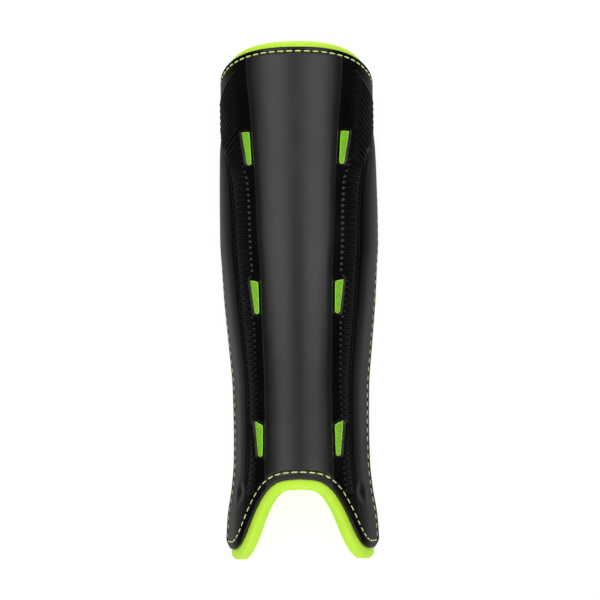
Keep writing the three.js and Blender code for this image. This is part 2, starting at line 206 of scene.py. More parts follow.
def outwards(across, down):
    """Direction straight out of the form."""
    along = roundwards(across, down).normalized()
    return Vector((-along.z, 0, along.x))


def share_round(size, across, down):
    return size / roundwards(across, down).length


def smoothstep(at, low, high):
    u = min(max((at - low) / (high - low), 0.0), 1.0)
    return u * u * (3 - 2 * u)


def mix(a, b, share):
    return a + (b - a) * share


print("calf width, mm:", round(2 * skin(1, 0.33).x / MM, 1))

# %% [markdown]
# ## The two ends
#
# The knee end is a low bow, and the ankle end an arch between two lobes. Both are curves of "down"
# against "across". A point a fixed distance inside or outside such an edge is wanted again and
# again, for the lip of foam and for the line of stitches, so one function finds it.

# %% Edges of the shell


def knee_edge(across):
    return (KNEE_LIP + KNEE_DROP * max(across, 0.0) ** KNEE_BOW) / LENGTH


def ankle_edge(across):
    return (LENGTH - ANKLE_LIP - ARCH_DROP * (1 - drop_at(across))) / LENGTH


KNEE_OUT, ANKLE_OUT = 1, -1  # outside is against "down" at the knee end, and along it at the ankle


def beside_edge(edge, outward, across, reach):
    """Place that lies reach past an edge of the shell, square to it. A minus reach is inside it."""
    left, right = max(across - SMALL, 0.0), min(across + SMALL, 1.0)
    down = edge(across)
    length = roundwards(across, down).length
    run = (right - left) * length
    fall = (edge(right) - edge(left)) * LENGTH
    slant = math.hypot(run, fall)
    round_share = across + outward * fall / slant * reach / length
    return min(max(round_share, 0.0), 1.0), down - outward * run / slant * reach / LENGTH


def inside_knee(across, down):
    """About how far a place lies inside the knee edge."""
    fall = (knee_edge(across + SMALL) - knee_edge(across - SMALL)) * LENGTH
    run = 2 * SMALL * roundwards(across, down).length
    return (down - knee_edge(across)) * LENGTH * run / math.hypot(run, fall)


print("crown of the arch, mm from the knee:", round(ankle_edge(0) * LENGTH / MM, 1))

# %% [markdown]
# ## A sheet that follows the form
#
# Each face of the guard is a curved sheet whose grid lines run along its own ribs, creases and
# edges. An even grid with a displacement map would blur them, and cutting the lines in later makes
# ragged faces. So a flat grid comes from one operator, and each crossing is then moved to its
# place: a column is a share across that shifts with the lines of the relief, and a row is a curve
# across the guard.

# %% Grid, bands of columns, and the rounding of a rim


def grid_sheet(columns, rows, place, finish=lambda i, j: 0):
    """Grid of faces, where column i and row j cross at place(i, j), seen from outside.

    finish(i, j) is the material slot of the face between columns i and i + 1, rows j and j + 1.
    """
    sheet = bmesh.new()
    bmesh.ops.create_grid(sheet, x_segments=columns, y_segments=rows, size=0.5)
    for face in sheet.faces:
        middle = face.calc_center_median()
        i, j = int((middle.x + 0.5) * columns), int((0.5 - middle.y) * rows)
        face.material_index = finish(i, j)
    for corner in sheet.verts:
        i = round((corner.co.x + 0.5) * columns)
        j = round((0.5 - corner.co.y) * rows)
        corner.co = place(i, j)
    return sheet


def banded(bounds, counts):
    """Steps from the first bound to the last, with so many even ones in each band."""
    steps = [bounds[0]]
    for start, end, count in zip(bounds, bounds[1:], counts):
        steps += [mix(start, end, (n + 1) / count) for n in range(count)]
    return steps


def mirrored(point, side):
    return Vector((point.x * side, point.y, point.z))


def rim_round(reach, radius):
    """How far a face has dropped at a reach from its rim, for a rim of that radius."""
    if reach >= radius:
        return 0.0
    return radius - math.sqrt(radius**2 - (radius - max(reach, 0.0)) ** 2)


# %% [markdown]
# ## Vents
#
# Three slots a side run down beside the centre panel, and the lining shows through them. On the
# mould each is a small insert, so its outline is the same from the face to the back. The outline is
# worked out once: the shell is cut with it, the collar round it is a dip in the sheet, and the foam
# pads that fill the slots use it with a gap.

# %% Outline of a vent
VENT_WIDTH, VENT_TIP_WIDTH = 5 * MM, 2.9 * MM
VENT_GAP = 1.5 * MM  # from the line of the panel to the slot
VENT_CORNER = 0.8 * MM
TIP_POINTS, CORNER_POINTS = 9, 4

Vent = namedtuple("Vent", "down cant length")
VENTS = [Vent(0.172, 0.04, 19.2 * MM), Vent(0.4595, 0.24, 18.7 * MM), Vent(0.735, 0.52, 18.3 * MM)]


def vent_inner_x(down):
    return skin(panel_at(down), down).x + VENT_GAP


def vent_width(share):
    return mix(VENT_WIDTH, VENT_TIP_WIDTH, share)


def vent_outline(vent, gap=0.0):
    """Corners of the right-hand slot seen from the front, drawn in by a gap all round."""

    def inner(share):
        down = vent.down + share * vent.length / LENGTH
        return Vector((vent_inner_x(down) + gap, 0.5 * LENGTH - down * LENGTH))

    def outer(share):
        return inner(share) + Vector((vent_width(share) - 2 * gap, 0))

    top_inner, top_outer = inner(0) - Vector((0, gap)), outer(0) - Vector((0, gap))
    top_outer.y += vent.cant * VENT_WIDTH
    tip_radius = VENT_TIP_WIDTH / 2 - gap
    tip_share = 1 - VENT_TIP_WIDTH / 2 / vent.length
    tip_inner, tip_outer = inner(tip_share), outer(tip_share)
    corners = []
    for corner, before, after in (
        (top_inner, tip_inner, top_outer),
        (top_outer, top_inner, tip_outer),
    ):
        start = corner + (before - corner).normalized() * VENT_CORNER
        end = corner + (after - corner).normalized() * VENT_CORNER
        for n in range(CORNER_POINTS):
            u = n / (CORNER_POINTS - 1)
            corners.append(start * (1 - u) ** 2 + corner * 2 * u * (1 - u) + end * u * u)
    middle = (tip_inner + tip_outer) / 2
    reach = (tip_outer - tip_inner) / 2
    for n in range(TIP_POINTS):
        angle = math.pi * n / (TIP_POINTS - 1)
        corners.append(middle + reach * math.cos(angle) - Vector((0, tip_radius * math.sin(angle))))
    return corners


def distance_to(outline, spot):
    """Distance from a spot to an outline, less than nothing inside it."""
    nearest, inside = math.inf, False
    for a, b in zip(outline, outline[1:] + outline[:1]):
        edge, way = b - a, spot - a
        share = min(max(way.dot(edge) / edge.length_squared, 0.0), 1.0)
        nearest = min(nearest, (way - edge * share).length)
        if (a.y > spot.y) != (b.y > spot.y):
            if spot.x < a.x + (spot.y - a.y) / (b.y - a.y) * (b.x - a.x):
                inside = not inside
    return -nearest if inside else nearest


VENT_OUTLINES = [vent_outline(vent) for vent in VENTS]
NEAR_VENT = 4 * MM  # past this, a vent no longer matters


def vent_reach(point):
    """Distance in the front view from a point of the shell to the nearest slot."""
    spot = Vector((abs(point.x), point.y))
    reach = NEAR_VENT
    for outline in VENT_OUTLINES:
        top, bottom = outline[0].y + 2 * NEAR_VENT, outline[-1].y - 2 * NEAR_VENT
        if bottom < spot.y < top:
            reach = min(reach, distance_to(outline, spot))
    return reach


print("vents:", len(VENTS) * 2, "slots, the longest of", round(VENTS[0].length / MM, 1), "mm")

# %% [markdown]
# ## Relief of the shell
#
# Everything raised or sunk on the shell is a height above the smooth form: the centre panel, the
# ribs that run out to the crease, the crease itself, the collar round each vent, and the flat
# flange that the stitches need. Adding heights in one function keeps them in step wherever two of
# them meet, which separate strips laid on the shell would not.

# %% Sizes of the relief
PANEL_RISE = 2.4 * MM
RIB_PITCH, RIB_HEIGHT, RIB_WIDTH = 3.35 * MM, 0.9 * MM, 2.3 * MM
RIB_BEND, RIB_END_GAP = 3 * MM, 1.2 * MM  # the level start of a rib, and its gap from the crease
RIB_GROWS, RIB_FADES = 2.4 * MM, 1.0 * MM
RIBS_FROM, RIBS_TO = 0.0588, 0.865
RIB_SLANT, RIB_TILT = math.tan(math.radians(38)), math.tan(math.radians(6))
SLANT_ENDS, TILT_BEGINS = 0.2, 0.255  # the long slanted ribs at the knee, the short ones below
KNEE_SEAM, ARCH_SEAM, FLANK_SEAM = 2.5 * MM, 4.4 * MM, 4.6 * MM  # of the stitches, from the edges
SEAM_GROOVE, SEAM_GROOVE_FLOOR, SEAM_GROOVE_DEPTH = 0.75 * MM, 0.2 * MM, 0.35 * MM
FLANGE_PAST_SEAM, FLANGE_SLOPE = 0.5 * MM, 0.9 * MM
ARCH_DROOP, DROOP_WIDTH = 1.0 * MM, 3.8 * MM  # the flange over the arch leans down to its edge
SHELL_RIM = 1.1 * MM

# %% Profiles of the relief
# Edge of the centre panel, as shares of its rise: a chamfer that catches the light, then a wall.
PanelPoint = namedtuple("PanelPoint", "reach share")
PANEL_PROFILE = [
    PanelPoint(-2.6 * MM, 1.0),
    PanelPoint(-2.3 * MM, 0.97),
    PanelPoint(-0.7 * MM, 0.52),
    PanelPoint(-0.45 * MM, 0.42),
    PanelPoint(0.3 * MM, 0.04),
    PanelPoint(0.8 * MM, 0.0),
]
panel_share = smooth_curve(PANEL_PROFILE, "reach", "share")

# Height round a vent, by the distance from its slot: a dark bowl, then a fine bright lip.
CollarPoint = namedtuple("CollarPoint", "reach height")
COLLAR_PROFILE = [
    CollarPoint(0.0 * MM, -0.75 * MM),
    CollarPoint(0.85 * MM, -0.7 * MM),
    CollarPoint(1.1 * MM, 0.0 * MM),
    CollarPoint(1.25 * MM, 0.18 * MM),
    CollarPoint(1.5 * MM, 0.08 * MM),
    CollarPoint(1.9 * MM, 0.0 * MM),
]
collar_height = smooth_curve(COLLAR_PROFILE, "reach", "height")
COLLAR = 1.3 * MM  # the ribs keep this far off a slot
COLLAR_EASE, COLLAR_TIP = 5 * MM, 1 * MM  # and make way for it over this length
LIP_FROM, LIP_FULL = -1.2 * MM, -0.2 * MM  # beside the line of the ribs: only that side has the lip

# Height beside the crease: a fine ridge, a sharp fall, and a valley that eases into the flank.
CreasePoint = namedtuple("CreasePoint", "reach height")
CREASE_PROFILE = [
    CreasePoint(-1.6 * MM, 0.0 * MM),
    CreasePoint(-0.7 * MM, 0.4 * MM),
    CreasePoint(0.0 * MM, 0.6 * MM),
    CreasePoint(0.45 * MM, 0.3 * MM),
    CreasePoint(0.9 * MM, -0.9 * MM),
    CreasePoint(1.4 * MM, -1.35 * MM),
    CreasePoint(2.0 * MM, -1.3 * MM),
    CreasePoint(4.2 * MM, -0.6 * MM),
    CreasePoint(6.0 * MM, -0.5 * MM),
]
crease_height = smooth_curve(CREASE_PROFILE, "reach", "height")
CREASE_HOLD, CREASE_FADE = 3 * MM, 12 * MM
crease_heights = [point.height / MM for point in CREASE_PROFILE]
print("crease, mm up and down:", round(max(crease_heights), 2), round(min(crease_heights), 2))

# %% [markdown]
# ### Ribs
#
# A rib leaves the panel level, bends, and runs out on a slant: steep near the knee, nearly level
# below. Swept strips laid on the shell would need their ends trimmed at the crease and round the
# vents. Instead a rib is a height that depends on where its own line starts, so it merges into the
# shell, and its start simply moves out where a vent is in the way.

# %% Run of the ribs


def rib_line(down):
    """Share across where the ribs begin: on their own line, or past the collar of a vent."""
    line = ribs_at(down)
    for vent in VENTS:
        past_top = (down - vent.down) * LENGTH
        if -COLLAR_EASE < past_top < vent.length + COLLAR_EASE:
            share = min(max(past_top / vent.length, 0.0), 1.0)
            beside = smoothstep(past_top, -COLLAR_EASE, 0)
            beside *= 1 - smoothstep(past_top, vent.length - COLLAR_TIP, vent.length + COLLAR_EASE)
            wanted = vent_inner_x(down) + vent_width(share) + COLLAR
            missing = max(0.0, wanted - skin(line, down).x) * beside
            line += missing / roundwards(line, down).x
    return line


@lru_cache(maxsize=None)
def rib_root(start):
    """(share across, length of a whole way round) where the rib of that start begins."""
    line = rib_line(start)
    return line, roundwards(line, start).length


def rib_slope(down):
    """How much a rib falls for each length it runs outwards."""
    return mix(RIB_SLANT, RIB_TILT, smoothstep(down, SLANT_ENDS, TILT_BEGINS))


def rib_run(start, across):
    """Length that a rib which leaves the panel at start has run on a slant, at most to the crease."""
    line, round_length = rib_root(start)
    level = min(across, crease_at(start)) - line
    return max(0.0, level * round_length - RIB_BEND)


def along_rib(start, across):
    """Down the guard, where the rib from start has come to."""
    return start + rib_run(start, across) * rib_slope(start) / LENGTH


def rib_profile(start):
    """Height of the ribs between two valleys: a rounded ridge for each pitch."""
    off = ((start - RIBS_FROM) * LENGTH / RIB_PITCH + 0.5) % 1.0 - 0.5
    share = abs(off) * RIB_PITCH / (RIB_WIDTH / 2)
    return max(0.0, 1 - share**3)


print("ribs a side:", round((RIBS_TO - RIBS_FROM) * LENGTH / RIB_PITCH))

# %% [markdown]
# ### All the heights together
#
# One function adds up the heights at a place. It is told how far that place lies from the nearest
# vent and from the three edges, since the collars, the flange and the groove under the stitches
# depend on nothing else.

# %% All the heights added up
Reaches = namedtuple("Reaches", "vent knee ankle flank")


def relief(across, down, start, reaches):
    """Height above the smooth form. start is where the rib through this place leaves the panel."""
    round_length = roundwards(across, down).length

    def reach_past(line):
        return (across - line) * round_length

    flange = 1.0
    for reach, line in ((reaches.knee, KNEE_SEAM), (reaches.ankle, ARCH_SEAM)):
        foot = line + FLANGE_PAST_SEAM
        flange *= smoothstep(reach, foot, foot + FLANGE_SLOPE)
    panel = panel_share(reach_past(panel_at(down)))
    height = PANEL_RISE * rise_at(down) * panel * flange
    height -= ARCH_DROOP * (1 - smoothstep(reaches.ankle, 0, DROOP_WIDTH))

    past_crease = reach_past(crease_at(down))
    fade = 1 - smoothstep(past_crease, CREASE_HOLD, CREASE_HOLD + CREASE_FADE)
    height += crease_height(past_crease) * step_at(down) * fade * flange

    if RIBS_FROM - 0.5 * RIB_PITCH / LENGTH < start < RIBS_TO + 0.5 * RIB_PITCH / LENGTH:
        inner = (across - rib_root(start)[0]) * round_length
        outer = (crease_at(down) - across) * round_length - RIB_END_GAP
        shown = smoothstep(inner, 0, RIB_GROWS) * smoothstep(outer, 0, RIB_FADES) * flange
        height += RIB_HEIGHT * rib_profile(start) * shown

    if reaches.vent < NEAR_VENT:
        collar = collar_height(max(reaches.vent, 0.0))
        on_outer_side = smoothstep(reach_past(rib_line(down)), LIP_FROM, LIP_FULL)
        height += collar * (1 - panel) * (on_outer_side if collar > 0 else 1)

    off_seam = min(
        abs(reaches.knee - KNEE_SEAM) if reaches.flank > KNEE_SEAM else NEAR_VENT,
        abs(reaches.ankle - ARCH_SEAM) if reaches.flank > FLANK_SEAM - SEAM_GROOVE else NEAR_VENT,
        abs(reaches.flank - FLANK_SEAM) if min(reaches.knee, reaches.ankle) > KNEE_SEAM else NEAR_VENT,
    )
    return height - SEAM_GROOVE_DEPTH * (1 - smoothstep(off_seam, SEAM_GROOVE_FLOOR, SEAM_GROOVE))


middle_of_panel = relief(0.0, 0.5, 0.0, Reaches(LENGTH, LENGTH, LENGTH, LENGTH))
print("panel above the form, mm:", round(middle_of_panel / MM, 2))

# %% [markdown]
# ## Outer face of the shell
#
# The ribs leave the panel level and then slant away, so the rows of the grid leave with them. Six
# rows to a rib put its ridge, flanks and valley each on a row, and the ridges come out as clean as
# on the mould. Near the knee and ankle the rows turn into copies of the edge, so that the rim, the
# flange and the stitches all follow it.

# %% Columns of the outer face
COLUMN_COUNTS = (7, 7, 7, 6, 17, 9, 13, 8, 3)  # to each line of the relief in turn, half way round
EDGE_COLUMNS = (1.1, 0.7, 0.35, 0.12, 0.0)  # mm from the flank edge
CREASE_BAND, SEAM_BAND = 1.6 * MM, 1.0 * MM  # on each side of the line
COLLAR_BAND = (0.9 * MM, 0.6 * MM)  # before and after the line of the ribs


def half_columns(down):
    """Shares across of the columns of one half at a place down the guard."""
    chamfer, foot = (share_round(PANEL_PROFILE[n].reach, panel_at(down), down) for n in (0, -1))
    band = share_round(CREASE_BAND, crease_at(down), down)
    ribs = rib_line(down)
    before, after = (share_round(width, ribs, down) for width in COLLAR_BAND)
    seam, rim = (1 - share_round(reach, 1, down) for reach in (FLANK_SEAM, EDGE_COLUMNS[0] * MM))
    beside_seam = share_round(SEAM_BAND, 1, down)
    lines = (
        0.0,
        panel_at(down) + chamfer,
        panel_at(down) + foot,
        ribs - before,
        ribs + after,
        crease_at(down) - band,
        min(crease_at(down) + band, seam - 2 * beside_seam),
        seam - beside_seam,
        seam + beside_seam,
        rim,
    )
    rim_columns = [1 - share_round(reach * MM, 1, down) for reach in EDGE_COLUMNS[1:]]
    return banded(lines, COLUMN_COUNTS) + rim_columns


print("columns in half the face:", len(half_columns(0.5)) - 1)

# %% [markdown]
# ### Rows
#
# The rows near an end are copies of its edge at set distances, close together where the rim is
# round and where the stitches lie. Those between follow the ribs. A few evenly spread rows lead
# from the one kind to the other.

# %% Rows of the outer face
ROWS_IN_PITCH = (0.0, 0.55, 1.0, 1.675, 2.35, 2.8)  # mm past the ridge of a rib
RIM_REACHES = (0.0, 0.12, 0.35, 0.7, 1.1)  # mm inside the edge of the shell
KNEE_REACHES = RIM_REACHES + (1.75, 2.1, 2.5, 2.9, 3.1, 3.4, 3.7, 4.0)
ANKLE_REACHES = RIM_REACHES + (1.7, 2.4, 3.1, 3.7, 4.0, 4.4, 4.8, 5.1, 5.5, 5.9)
KNEE_FILL, ANKLE_FILL = 8, 18  # rows between the rows of an end and those of the ribs

PITCH_SHARE = RIB_PITCH / LENGTH
rib_starts = [
    RIBS_FROM + n * PITCH_SHARE + reach * MM / LENGTH
    for n in range(-1, int((RIBS_TO - RIBS_FROM) / PITCH_SHARE) + 1)
    for reach in ROWS_IN_PITCH
    if RIBS_FROM - PITCH_SHARE / 2 - 1e-6 <= RIBS_FROM + n * PITCH_SHARE + reach * MM / LENGTH
]
ARCH_BEGINS, ARCH_ROOM = 0.8, 7.6 * MM


def edge_slant(edge, across):
    """How much longer a way straight down is than the way square to an edge."""
    fall = (edge(min(across + SMALL, 1)) - edge(max(across - SMALL, 0))) * LENGTH
    run = (min(across + SMALL, 1) - max(across - SMALL, 0)) * roundwards(across, edge(across)).length
    return math.hypot(fall, run) / run


def rib_row(start, across):
    """Place down the guard of the row that leaves the panel at start, drawn up over the arch."""
    down = along_rib(start, across)
    if start <= ARCH_BEGINS:
        return down
    room = ankle_edge(across) - ARCH_BEGINS - ARCH_ROOM / LENGTH
    squeeze = min(1.0, room / (rib_starts[-1] - ARCH_BEGINS))
    return ARCH_BEGINS + (down - ARCH_BEGINS) * squeeze


def shell_row_place(row, across):
    """(down, start of its rib) of a row of the outer face."""
    knee_rows = len(KNEE_REACHES) + KNEE_FILL
    if row < knee_rows:
        edge, slant = knee_edge(across), edge_slant(knee_edge, across)
        if row < len(KNEE_REACHES):
            return edge + KNEE_REACHES[row] * MM * slant / LENGTH, 0.0
        last = edge + KNEE_REACHES[-1] * MM * slant / LENGTH
        share = (row - len(KNEE_REACHES) + 1) / (KNEE_FILL + 1)
        return mix(last, rib_row(rib_starts[0], across), share), 0.0
    row -= knee_rows
    if row < len(rib_starts):
        return rib_row(rib_starts[row], across), rib_starts[row]
    row -= len(rib_starts)
    edge, slant = ankle_edge(across), edge_slant(ankle_edge, across)
    if row < ANKLE_FILL:
        last = edge - ANKLE_REACHES[-1] * MM * slant / LENGTH
        return mix(rib_row(rib_starts[-1], across), last, (row + 1) / (ANKLE_FILL + 1)), 1.0
    reach = ANKLE_REACHES[len(ANKLE_REACHES) - 1 - (row - ANKLE_FILL)]
    return edge - reach * MM * slant / LENGTH, 1.0


print("rows that follow the ribs:", len(rib_starts))

# %% [markdown]
# ### Every corner
#
# A column shifts with the lines of the relief, so it can't be placed before its row, and a row
# slants with the ribs, so it can't be placed before its column. Solving both at once isn't needed:
# each is found from the other a few times over, and they settle at once.

# %% Place every corner of the outer face
COLUMN_TABLE_STEPS = 600
column_table = [half_columns(step / COLUMN_TABLE_STEPS) for step in range(COLUMN_TABLE_STEPS + 1)]


def column_across(step, down):
    """Share across of a column, read between two rows of the table."""
    at = min(max(down, 0.0), LAST_STEP) * COLUMN_TABLE_STEPS
    row = int(at)
    return mix(column_table[row][step], column_table[row + 1][step], at - row)


HALF_COLUMNS = len(column_table[0]) - 1
SHELL_ROWS = len(KNEE_REACHES) + KNEE_FILL + len(rib_starts) + ANKLE_FILL + len(ANKLE_REACHES) - 1
SETTLING_STEPS = 3
LAST_STEP = 0.9999  # keeps the end of the guard inside the table
shell_places = {}


def shell_place(column, row):
    """Point of the outer face of the shell, worked out once for its left and right copies."""
    side = -1 if column < HALF_COLUMNS else 1
    step = abs(column - HALF_COLUMNS)
    if (step, row) not in shell_places:
        down = shell_row_place(row, 0.5)[0]
        for _ in range(SETTLING_STEPS):
            across = column_across(step, down)
            down, start = shell_row_place(row, across)
        flat = skin(across, down)
        knee_reach = inside_knee(across, down)
        ankle_reach = (ankle_edge(across) - down) * LENGTH / edge_slant(ankle_edge, across)
        flank_reach = (1 - across) * roundwards(across, down).length
        reaches = Reaches(vent_reach(flat), knee_reach, ankle_reach, flank_reach)
        height = relief(across, down, start, reaches)
        rim_reach = min(knee_reach, ankle_reach, flank_reach)
        height -= rim_round(rim_reach, SHELL_RIM)
        point = flat + outwards(across, down) * height
        point.z = max(point.z, 0.0)
        shell_places[step, row] = point
    return mirrored(shell_places[step, row], side)


GLOSS, SATIN = 0, 1
SATIN_COLUMNS = COLUMN_COUNTS[0] + 4  # to the foot of the chamfer
SATIN_FIRST_ROW = len(KNEE_REACHES) - 4  # just inside the stitches


def shell_finish(column, row):
    """The panel and the upper part of its bevel are satin, and the rest is gloss."""
    step = HALF_COLUMNS - 1 - column if column < HALF_COLUMNS else column - HALF_COLUMNS
    return SATIN if step < SATIN_COLUMNS and row >= SATIN_FIRST_ROW else GLOSS


outer_face = grid_sheet(2 * HALF_COLUMNS, SHELL_ROWS, shell_place, shell_finish)
print("outer face of the shell:", len(outer_face.faces), "quads")

# %% [markdown]
# Low on each flank is a soft oval dimple. It could be one more height of the relief, but the quads
# there are too wide for it, and finer columns would run the whole length of the guard. So only the
# quads round it are cut once more, and their corners are then pressed in.

# %% Press the two dimples
DIMPLE_DOWN, DIMPLE_ACROSS = 0.868, 0.7
DIMPLE_LENGTH, DIMPLE_WIDTH, DIMPLE_DEPTH = 16 * MM, 15 * MM, 1.3 * MM
DIMPLE_CUTS = 1


def press_dimple(sheet, side):
    """Presses a long oval into one flank of the outer face."""
    centre = mirrored(skin(DIMPLE_ACROSS, DIMPLE_DOWN), side)
    out = mirrored(outwards(DIMPLE_ACROSS, DIMPLE_DOWN), side)
    round_way = Vector((0, 1, 0)).cross(out)
    near = [edge for edge in sheet.edges if (edge.verts[0].co - centre).length < DIMPLE_LENGTH]
    bmesh.ops.subdivide_edges(sheet, edges=near, cuts=DIMPLE_CUTS, use_grid_fill=True)
    for corner in sheet.verts:
        off = corner.co - centre
        if off.length < DIMPLE_LENGTH:
            reach = math.hypot(off.dot(round_way) * 2 / DIMPLE_WIDTH, off.y * 2 / DIMPLE_LENGTH)
            corner.co -= out * DIMPLE_DEPTH * (1 - smoothstep(reach, 0.0, 1.0))


for side in (-1, 1):
    press_dimple(outer_face, side)
print("with dimples:", len(outer_face.faces), "faces")

# %% [markdown]
# ## Back, rim and openings of the shell
#
# The shell is a moulded wall of even thickness, open behind. Its back never shows any relief, so a
# coarse sheet of the same form does for it. Bridging the two borders makes the rim.

# %% Close the wall
BACK_COLUMNS, BACK_ROWS = 36, 60


def border(sheet):
    return [edge for edge in sheet.edges if edge.is_boundary]


def back_place(column, row):
    """Point of the back of the shell, spread evenly between the same edges."""
    across = 2 * column / BACK_COLUMNS - 1
    side, across = (-1, -across) if across < 0 else (1, across)
    down = mix(knee_edge(across), ankle_edge(across), row / BACK_ROWS)
    return mirrored(skin(across, down, SHELL_WALL), side)


def joined(*sheets):
    """One mesh of several, which are used up."""
    whole = bmesh.new()
    for sheet in sheets:
        part = bpy.data.meshes.new("part")
        sheet.to_mesh(part)
        sheet.free()
        whole.from_mesh(part)
        bpy.data.meshes.remove(part)
    return whole


def close_wall(front, back):
    """Closed wall from its front and its back, with the rim bridged between their borders."""
    bmesh.ops.reverse_faces(back, faces=back.faces)
    wall = joined(front, back)
    bmesh.ops.bridge_loops(wall, edges=border(wall))
    bmesh.ops.triangulate(wall, faces=[face for face in wall.faces if len(face.verts) > 4])
    bmesh.ops.recalc_face_normals(wall, faces=wall.faces)
    return wall


def finished(sheet, name):
    """Object of that name from a bmesh, at the origin, with its place in its mesh."""
    mesh = bpy.data.meshes.new(name)
    sheet.to_mesh(mesh)
    sheet.free()
    piece = bpy.data.objects.new(name, mesh)
    bpy.context.collection.objects.link(piece)
    return piece


shell = finished(close_wall(outer_face, grid_sheet(BACK_COLUMNS, BACK_ROWS, back_place)), "shell")
print("closed wall:", len(shell.data.polygons), "faces")

# %% [markdown]
# The six slots go straight through the wall. Leaving faces out of the grid would give them stepped
# edges, because no row or column runs along a slot. So one boolean takes six prisms out of the
# wall at once, each with the outline worked out above, and leaves a crisp edge.

# %% Cut the vents
CUTTER_FOOT, CUTTER_HEIGHT = 0.1 * DEPTH, 1.2 * DEPTH


def slot_cutter(outline, side):
    """Prism of a slot, from above the shell to below its back."""
    cutter = bmesh.new()
    bmesh.ops.create_circle(cutter, cap_ends=True, segments=len(outline), radius=1)
    cutter.verts.ensure_lookup_table()
    spots = outline if side > 0 else outline[::-1]
    for corner, spot in zip(cutter.verts, spots):
        corner.co = (spot.x * side, spot.y, CUTTER_FOOT)
    wall = bmesh.ops.extrude_face_region(cutter, geom=cutter.faces[:])
    raised = [item for item in wall["geom"] if isinstance(item, bmesh.types.BMVert)]
    bmesh.ops.translate(cutter, verts=raised, vec=(0, 0, CUTTER_HEIGHT))
    bmesh.ops.recalc_face_normals(cutter, faces=cutter.faces)
    return cutter


cutters = [slot_cutter(outline, side) for outline in VENT_OUTLINES for side in (-1, 1)]
cutter = finished(joined(*cutters), "cutter")


def apply_modifiers(piece):
    """Bakes the modifiers of a piece into its mesh."""
    evaluated = piece.evaluated_get(bpy.context.evaluated_depsgraph_get())
    mesh = bpy.data.meshes.new_from_object(evaluated)
    piece.modifiers.clear()
    piece.data = mesh


cut = shell.modifiers.new("openings", "BOOLEAN")
cut.operation, cut.solver, cut.object = "DIFFERENCE", "EXACT", cutter
apply_modifiers(shell)
bpy.data.objects.remove(cutter)
print("cut shell:", len(shell.data.polygons), "faces")

# %% [markdown]
# ## Foam lining
#
# The lining is one sheet of closed-cell foam, pressed to the same form and trimmed a little past
# the shell all round. It is firm and moulded, so it has no folds for a cloth simulation to find,
# and it is modelled as it is: two sheets of the form, a foam thickness apart, with a softly rounded
# rim.

# %% Places on the lining
FOAM_RIM = 1.7 * MM  # radius of the rounded rim
FOAM_REACHES = (0.0, 0.12, 0.4, 0.8, 1.3, 1.7)  # mm inside the rim
LINING_COLUMNS, LINING_ROWS = 30, 90
KNEE_FADE, ANKLE_FADE = (0.78, 0.97), (0.96, 1.08)  # across, where the lip shrinks to the flank's
KNEE_BLEND, ANKLE_BLEND = (0, 0.15), (0.8, 1)  # down, where the columns turn square to the rim
FLANK_CROWDING = 1.6


def foam_end(across, at_knee):
    """(across, down) of the rim of the foam, a lip past the edge of the shell."""
    edge, lip = (knee_edge, KNEE_LIP) if at_knee else (ankle_edge, ANKLE_LIP)
    fade = KNEE_FADE if at_knee else ANKLE_FADE
    reach = mix(lip, FLANK_LIP, smoothstep(across, *fade))
    return beside_edge(edge, KNEE_OUT if at_knee else ANKLE_OUT, across, reach)


def lining_place(inset, inwards):
    """Places of one face of the lining, which turns away from its rim by inwards, 1 or -1."""
    rim_rows = len(FOAM_REACHES) - 1

    def place(column, row):
        side = -1 if column < LINING_COLUMNS else 1
        share = abs(column - LINING_COLUMNS) / LINING_COLUMNS
        across = share_at_column(share)
        knee_across, knee_down = foam_end(across, True)
        ankle_across, ankle_down = foam_end(across, False)
        share, reach = row_share(row, rim_rows, (ankle_down - knee_down) * LENGTH)
        down = mix(knee_down, ankle_down, share)
        near_knee, near_ankle = 1 - smoothstep(share, *KNEE_BLEND), smoothstep(share, *ANKLE_BLEND)
        across += (knee_across - across) * near_knee + (ankle_across - across) * near_ankle
        flank = (1 - across) * roundwards(across, down).length
        drop = max(rim_round(reach, FOAM_RIM), rim_round(flank, FOAM_RIM))
        return mirrored(skin(across, down, inset + drop * inwards), side)

    return place


def share_at_column(share):
    """Columns crowd towards the flank, where the rim is rounded."""
    return 1 - (1 - share) ** FLANK_CROWDING


def row_share(row, rim_rows, length):
    """(share of the length, reach from the nearer rim) of a row of the lining."""
    if row <= rim_rows:
        reach = FOAM_REACHES[row] * MM
        return reach / length, reach
    if row >= LINING_ROWS - rim_rows:
        reach = FOAM_REACHES[LINING_ROWS - row] * MM
        return 1 - reach / length, reach
    start = FOAM_REACHES[-1] * MM / length
    share = mix(start, 1 - start, (row - rim_rows) / (LINING_ROWS - 2 * rim_rows))
    return share, length


print("quads on a face of the lining:", 2 * LINING_COLUMNS * LINING_ROWS)

# %% Lining between its two faces
FOAM_FRONT = SHELL_WALL + CLEARANCE
FOAM_BACK = FOAM_FRONT + LINING_WALL
front = grid_sheet(2 * LINING_COLUMNS, LINING_ROWS, lining_place(FOAM_FRONT, 1))
back = grid_sheet(2 * LINING_COLUMNS, LINING_ROWS, lining_place(FOAM_BACK, -1))
lining = finished(close_wall(front, back), "foam_sheet")
print("lining:", len(lining.data.polygons), "faces")

# %% [markdown]
# ## Foam pads in the vents
#
# Seen through each slot is the lining again, pressed up into a pad with a soft raised border and a
# sunken middle. Each pad starts as one face with the outline of its slot, drawn in by the fit. Insets
# of that face give the border its steps, and each ring of corners is then laid at its own height
# over the form.

# %% Six pads
VENT_FIT = 0.4 * MM  # between a pad and its slot
PAD_RECESS = 0.45 * MM  # of its border below the face of the shell
HALVINGS = 24

